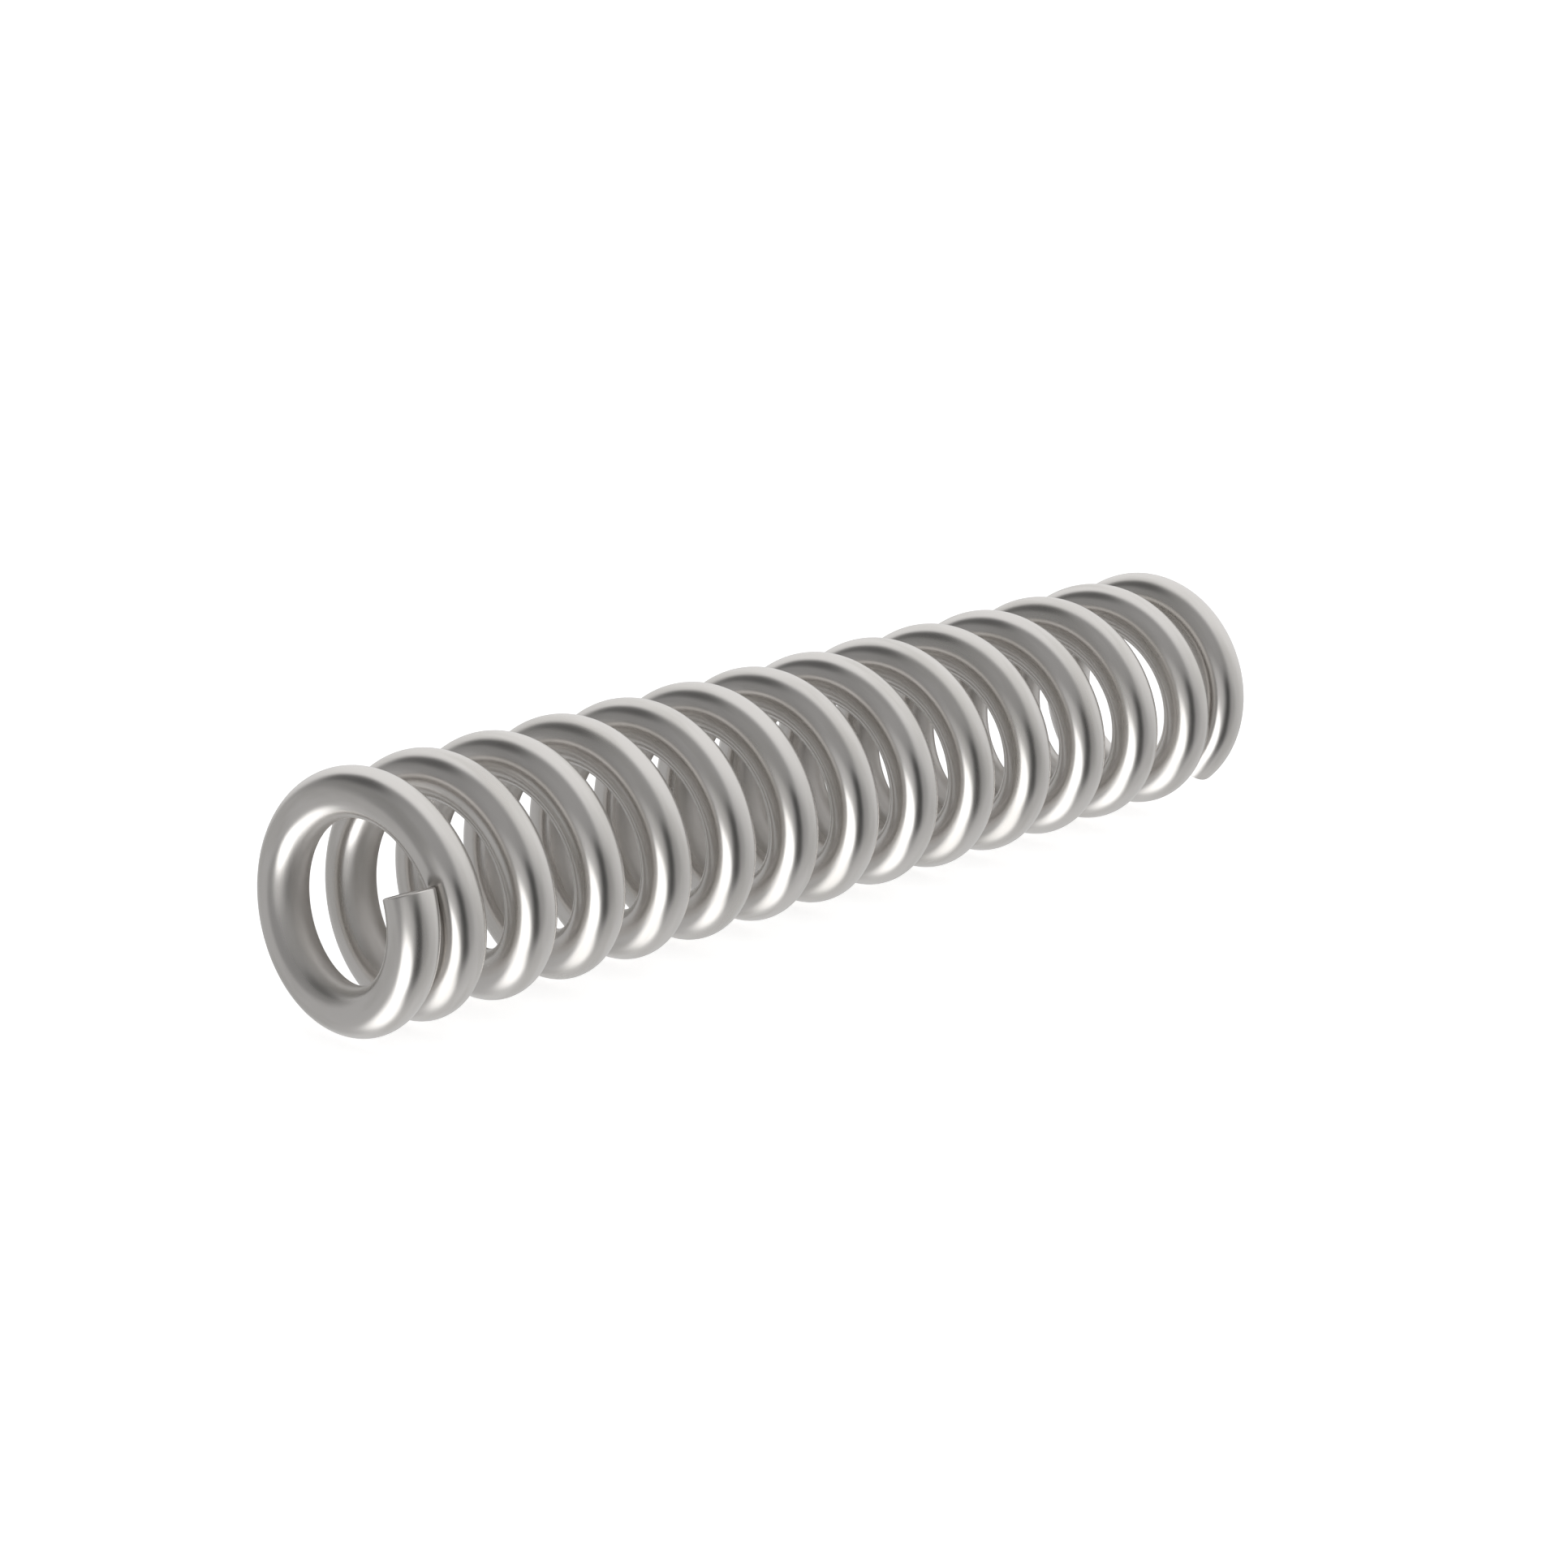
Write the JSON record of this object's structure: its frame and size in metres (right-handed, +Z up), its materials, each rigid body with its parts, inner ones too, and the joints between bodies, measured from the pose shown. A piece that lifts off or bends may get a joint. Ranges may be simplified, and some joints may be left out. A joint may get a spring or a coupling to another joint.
{
  "type": "helical compression spring",
  "caption": "Helical compression spring of round bright steel wire, right-hand wound, with closed, square-cut ends; it squeezes and springs back along its axis.",
  "frame": {"origin": "on the spring axis, halfway along the free length", "axes": "+X along the spring axis from the near end to the far end, +Z up; the spring lies on its side"},
  "size_m": [0.0874, 0.018, 0.018],
  "materials": {
    "spring_wire": "bright drawn stainless spring wire, satin"
  },
  "bodies": {
    "near_end_coil": {"near_end_coil": "spring_wire"},
    "flexing_coil_01": {"flexing_coil_01": "spring_wire"},
    "flexing_coil_02": {"flexing_coil_02": "spring_wire"},
    "flexing_coil_03": {"flexing_coil_03": "spring_wire"},
    "flexing_coil_04": {"flexing_coil_04": "spring_wire"},
    "flexing_coil_05": {"flexing_coil_05": "spring_wire"},
    "flexing_coil_06": {"flexing_coil_06": "spring_wire"},
    "flexing_coil_07": {"flexing_coil_07": "spring_wire"},
    "flexing_coil_08": {"flexing_coil_08": "spring_wire"},
    "flexing_coil_09": {"flexing_coil_09": "spring_wire"},
    "flexing_coil_10": {"flexing_coil_10": "spring_wire"},
    "flexing_coil_11": {"flexing_coil_11": "spring_wire"},
    "far_end_coil": {"far_end_coil": "spring_wire"}
  },
  "joints": [
    {"name": "turn_01_squeeze", "type": "slide", "parent": "near_end_coil", "child": "flexing_coil_01", "axis": [-1, 0, 0], "range_m": [-0.0008, 0.0022], "stiffness_N_per_m": 424500},
    {"name": "turn_02_squeeze", "type": "slide", "parent": "flexing_coil_01", "child": "flexing_coil_02", "axis": [-1, 0, 0], "range_m": [-0.0008, 0.0022], "stiffness_N_per_m": 424500},
    {"name": "turn_03_squeeze", "type": "slide", "parent": "flexing_coil_02", "child": "flexing_coil_03", "axis": [-1, 0, 0], "range_m": [-0.0008, 0.0022], "stiffness_N_per_m": 424500},
    {"name": "turn_04_squeeze", "type": "slide", "parent": "flexing_coil_03", "child": "flexing_coil_04", "axis": [-1, 0, 0], "range_m": [-0.0008, 0.0022], "stiffness_N_per_m": 424500},
    {"name": "turn_05_squeeze", "type": "slide", "parent": "flexing_coil_04", "child": "flexing_coil_05", "axis": [-1, 0, 0], "range_m": [-0.0008, 0.0022], "stiffness_N_per_m": 424500},
    {"name": "turn_06_squeeze", "type": "slide", "parent": "flexing_coil_05", "child": "flexing_coil_06", "axis": [-1, 0, 0], "range_m": [-0.0008, 0.0022], "stiffness_N_per_m": 424500},
    {"name": "turn_07_squeeze", "type": "slide", "parent": "flexing_coil_06", "child": "flexing_coil_07", "axis": [-1, 0, 0], "range_m": [-0.0008, 0.0022], "stiffness_N_per_m": 424500},
    {"name": "turn_08_squeeze", "type": "slide", "parent": "flexing_coil_07", "child": "flexing_coil_08", "axis": [-1, 0, 0], "range_m": [-0.0008, 0.0022], "stiffness_N_per_m": 424500},
    {"name": "turn_09_squeeze", "type": "slide", "parent": "flexing_coil_08", "child": "flexing_coil_09", "axis": [-1, 0, 0], "range_m": [-0.0008, 0.0022], "stiffness_N_per_m": 424500},
    {"name": "turn_10_squeeze", "type": "slide", "parent": "flexing_coil_09", "child": "flexing_coil_10", "axis": [-1, 0, 0], "range_m": [-0.0008, 0.0022], "stiffness_N_per_m": 424500},
    {"name": "turn_11_squeeze", "type": "slide", "parent": "flexing_coil_10", "child": "flexing_coil_11", "axis": [-1, 0, 0], "range_m": [-0.0008, 0.0022], "stiffness_N_per_m": 424500},
    {"name": "squeeze", "type": "slide", "parent": "flexing_coil_11", "child": "far_end_coil", "axis": [-1, 0, 0], "range_m": [-0.0008, 0.0022], "stiffness_N_per_m": 424500}
  ],
  "couplings": [
    {"joint": "turn_01_squeeze", "follows": "squeeze", "ratio": 1},
    {"joint": "turn_02_squeeze", "follows": "squeeze", "ratio": 1},
    {"joint": "turn_03_squeeze", "follows": "squeeze", "ratio": 1},
    {"joint": "turn_04_squeeze", "follows": "squeeze", "ratio": 1},
    {"joint": "turn_05_squeeze", "follows": "squeeze", "ratio": 1},
    {"joint": "turn_06_squeeze", "follows": "squeeze", "ratio": 1},
    {"joint": "turn_07_squeeze", "follows": "squeeze", "ratio": 1},
    {"joint": "turn_08_squeeze", "follows": "squeeze", "ratio": 1},
    {"joint": "turn_09_squeeze", "follows": "squeeze", "ratio": 1},
    {"joint": "turn_10_squeeze", "follows": "squeeze", "ratio": 1},
    {"joint": "turn_11_squeeze", "follows": "squeeze", "ratio": 1}
  ]
}
